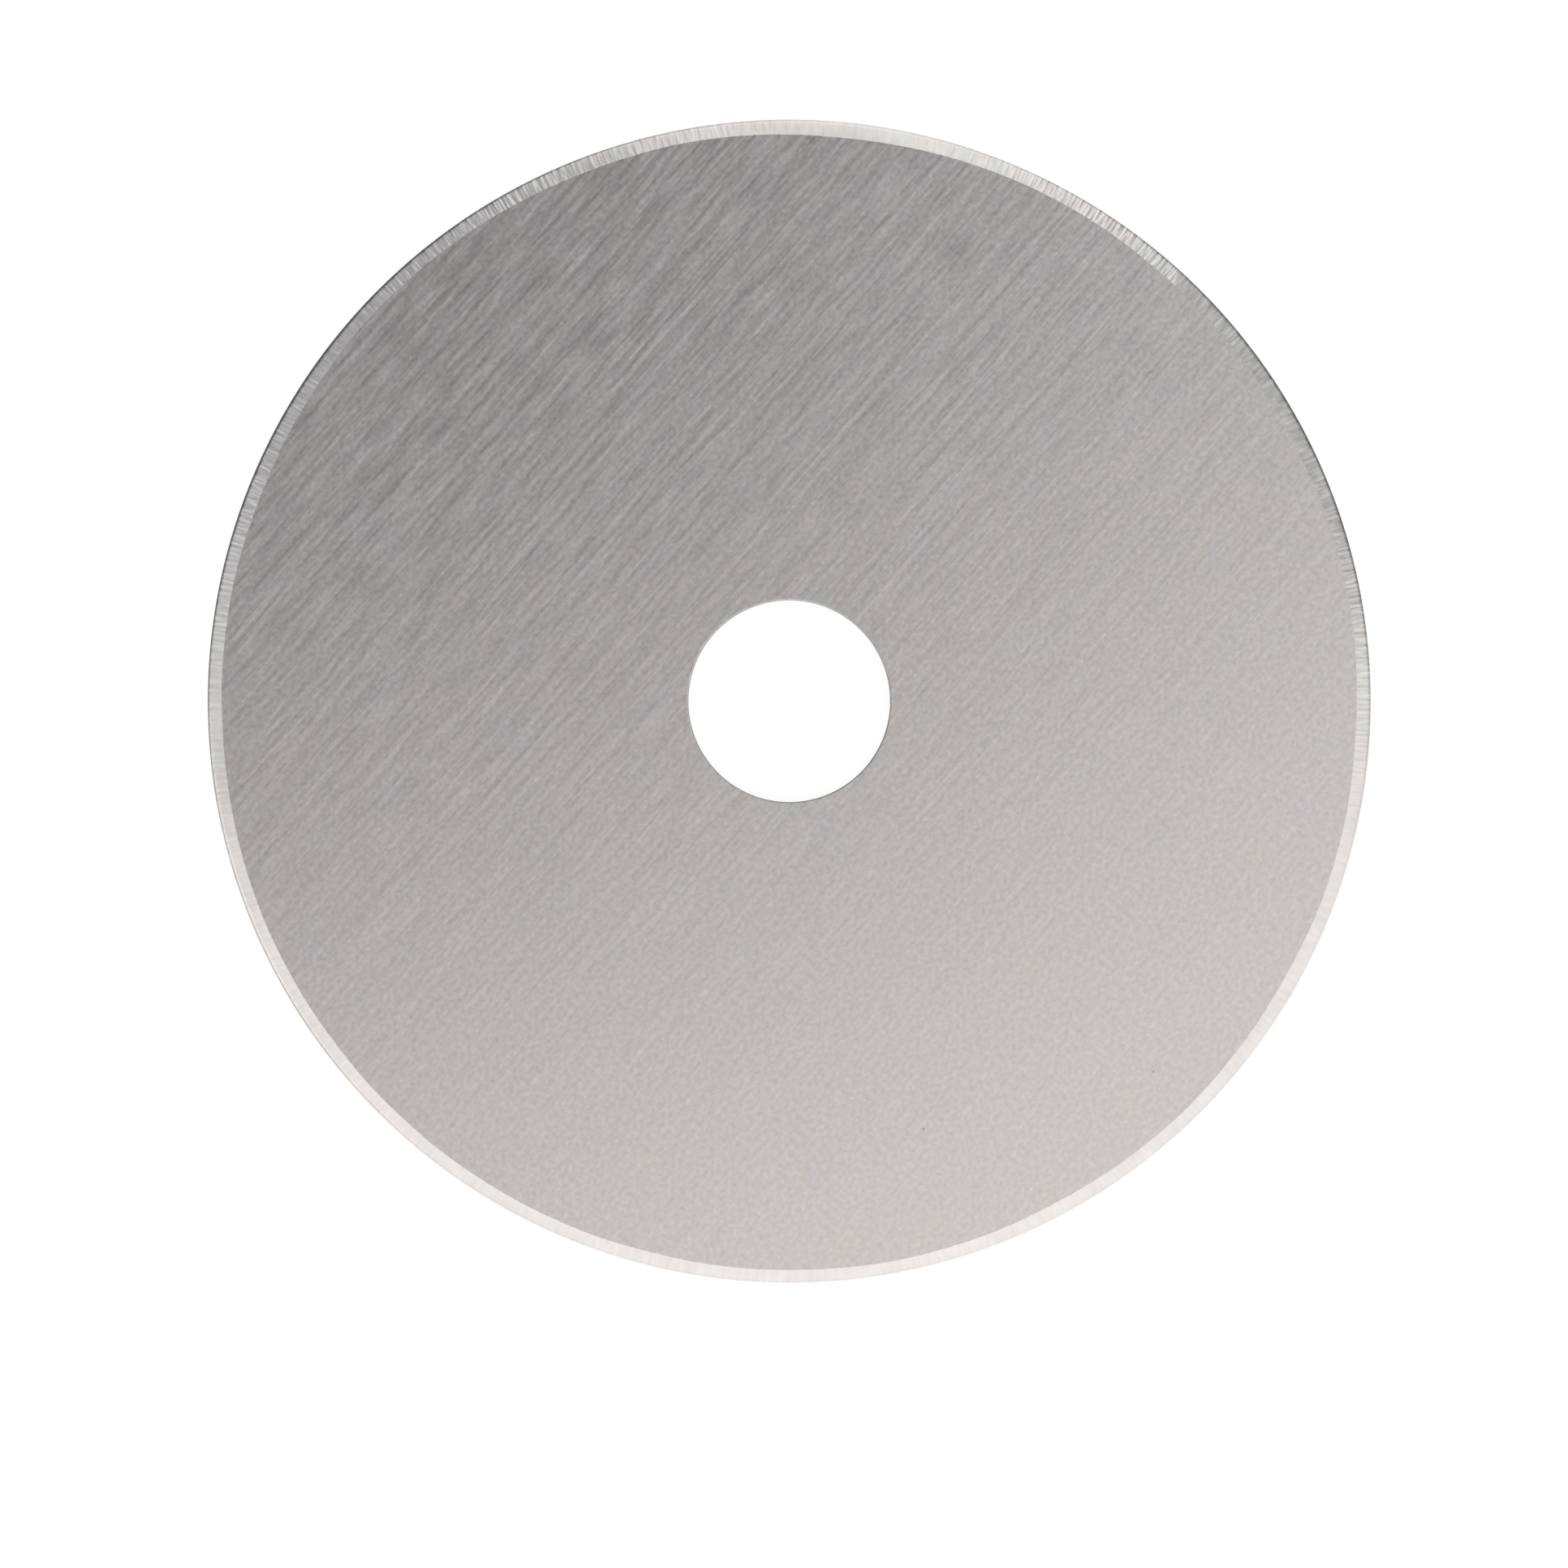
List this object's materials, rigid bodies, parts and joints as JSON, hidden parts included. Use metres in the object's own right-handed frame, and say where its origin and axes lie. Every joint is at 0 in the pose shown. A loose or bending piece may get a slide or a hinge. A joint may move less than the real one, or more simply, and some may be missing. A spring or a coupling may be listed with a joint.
{
  "type": "rotary cutter blade",
  "caption": "Flat round steel blade with a central hub hole and a rim ground from both sides to a sharp cutting edge, for a handheld rotary cutter.",
  "frame": {"origin": "middle of the hub hole at the level of the underside, so the blade lies on z = 0", "axes": "+Z along the axis that the blade turns on, out of its upper face; X and Y lie in the blade, which is the same all round"},
  "size_m": [0.06, 0.06, 0.0003],
  "materials": {
    "ground_steel": "bare hardened steel, both flat faces brushed in straight lines, the rim ground brighter with short radial marks"
  },
  "bodies": {
    "root": {"blade": "ground_steel"}
  },
  "joints": []
}
